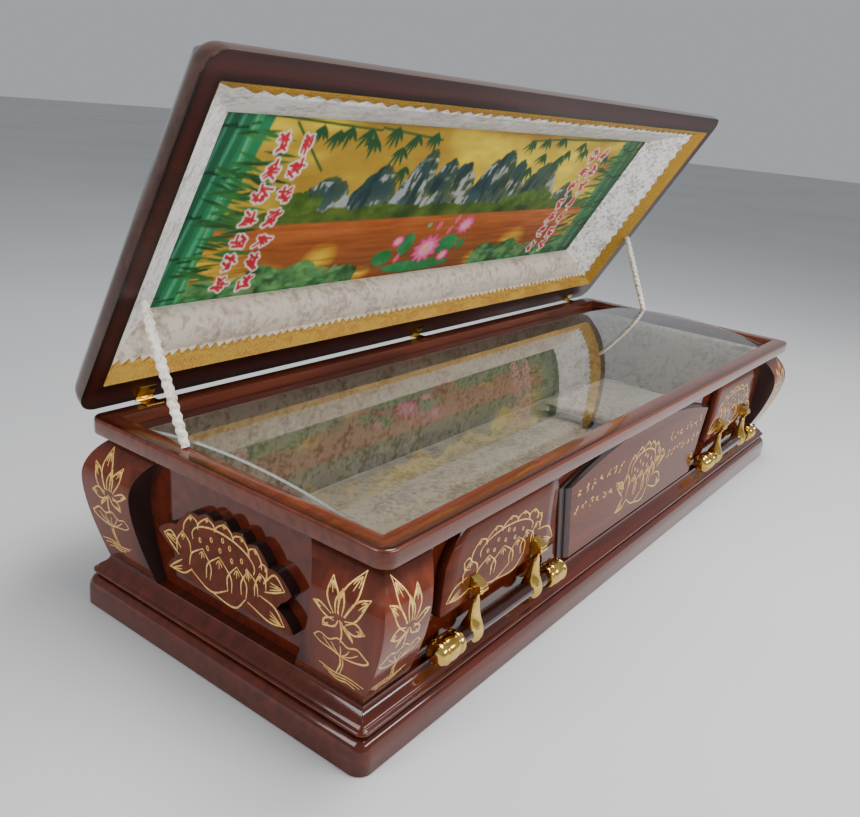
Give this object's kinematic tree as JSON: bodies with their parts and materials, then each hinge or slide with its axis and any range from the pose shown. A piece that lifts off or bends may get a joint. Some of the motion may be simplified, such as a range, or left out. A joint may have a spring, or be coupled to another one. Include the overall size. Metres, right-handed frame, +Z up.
{
  "type": "coffin",
  "caption": "Lacquered wooden coffin with gilt lotus panels, curved corner posts, swing handles, a glass cover over the bed and a hinged lid standing open.",
  "frame": {"origin": "middle of the underside of the plinth", "axes": "+X along the length to the head end, -Y the front long side, +Y the hinge side, +Z up"},
  "size_m": [2.042, 0.7661, 1.0121],
  "materials": {
    "plinth_lacquer": "high gloss lacquer",
    "wall_lacquer": "high gloss lacquer",
    "rim_lacquer": "high gloss lacquer",
    "post_lacquer": "high gloss lacquer",
    "panel_lacquer": "high gloss lacquer with gilt engraving",
    "plaque_lacquer": "high gloss lacquer with gilt engraving",
    "lid_lacquer": "high gloss lacquer",
    "bar_lacquer": "gloss",
    "brass": "polished",
    "clear_glass": "clear",
    "bed_velvet": "crushed velvet",
    "lid_velvet": "crushed velvet",
    "stay_velvet": "ruched velvet",
    "gold_braid": "metallic thread",
    "picture": "printed cloth"
  },
  "bodies": {
    "case": {"base_plinth": "plinth_lacquer", "case_shell": "wall_lacquer", "top_rim": "rim_lacquer", "glass_cover": "clear_glass", "case_lining": "bed_velvet", "mattress": "bed_velvet", "pillow": "bed_velvet", "corner_post_front_foot": "post_lacquer", "lotus_panel_front_foot": "panel_lacquer", "handle_front_foot_outer_lug": "brass", "handle_front_foot_inner_lug": "brass", "corner_post_front_head": "post_lacquer", "lotus_panel_front_head": "panel_lacquer", "handle_front_head_outer_lug": "brass", "handle_front_head_inner_lug": "brass", "centre_panel_front": "panel_lacquer", "corner_post_back_foot": "post_lacquer", "lotus_panel_back_foot": "panel_lacquer", "handle_back_foot_outer_lug": "brass", "handle_back_foot_inner_lug": "brass", "corner_post_back_head": "post_lacquer", "lotus_panel_back_head": "panel_lacquer", "handle_back_head_outer_lug": "brass", "handle_back_head_inner_lug": "brass", "centre_panel_back": "panel_lacquer", "end_plaque_foot": "plaque_lacquer", "stay_foot": "stay_velvet", "end_plaque_head": "plaque_lacquer", "stay_head": "stay_velvet", "hinge_foot_case_leaf": "brass", "hinge_middle_case_leaf": "brass", "hinge_head_case_leaf": "brass"},
    "handle_front_foot": {"handle_front_foot_bar": "bar_lacquer", "handle_front_foot_outer_arm": "brass", "handle_front_foot_outer_cap": "brass", "handle_front_foot_inner_arm": "brass", "handle_front_foot_inner_cap": "brass"},
    "handle_front_head": {"handle_front_head_bar": "bar_lacquer", "handle_front_head_outer_arm": "brass", "handle_front_head_outer_cap": "brass", "handle_front_head_inner_arm": "brass", "handle_front_head_inner_cap": "brass"},
    "handle_back_foot": {"handle_back_foot_bar": "bar_lacquer", "handle_back_foot_outer_arm": "brass", "handle_back_foot_outer_cap": "brass", "handle_back_foot_inner_arm": "brass", "handle_back_foot_inner_cap": "brass"},
    "handle_back_head": {"handle_back_head_bar": "bar_lacquer", "handle_back_head_outer_arm": "brass", "handle_back_head_outer_cap": "brass", "handle_back_head_inner_arm": "brass", "handle_back_head_inner_cap": "brass"},
    "lid": {"lid_shell": "lid_lacquer", "lid_lining": "lid_velvet", "gold_braid": "gold_braid", "picture_panel": "picture", "hinge_foot_lid_leaf": "brass", "hinge_middle_lid_leaf": "brass", "hinge_head_lid_leaf": "brass"}
  },
  "joints": [
    {"name": "lid_hinge", "type": "hinge", "parent": "case", "child": "lid", "pos_m": [0, 0.357, 0.3795], "axis": [1, 0, 0], "range_deg": [0, 60.5], "deforming": ["stay_foot", "stay_head"]},
    {"name": "handle_front_foot_swing", "type": "hinge", "parent": "case", "child": "handle_front_foot", "pos_m": [-0.616, -0.335, 0.197], "axis": [-1, 0, 0], "range_deg": [0, 70]},
    {"name": "handle_front_head_swing", "type": "hinge", "parent": "case", "child": "handle_front_head", "pos_m": [0.616, -0.335, 0.197], "axis": [-1, 0, 0], "range_deg": [0, 70]},
    {"name": "handle_back_foot_swing", "type": "hinge", "parent": "case", "child": "handle_back_foot", "pos_m": [-0.616, 0.335, 0.197], "axis": [1, 0, 0], "range_deg": [0, 70]},
    {"name": "handle_back_head_swing", "type": "hinge", "parent": "case", "child": "handle_back_head", "pos_m": [0.616, 0.335, 0.197], "axis": [1, 0, 0], "range_deg": [0, 70]}
  ]
}
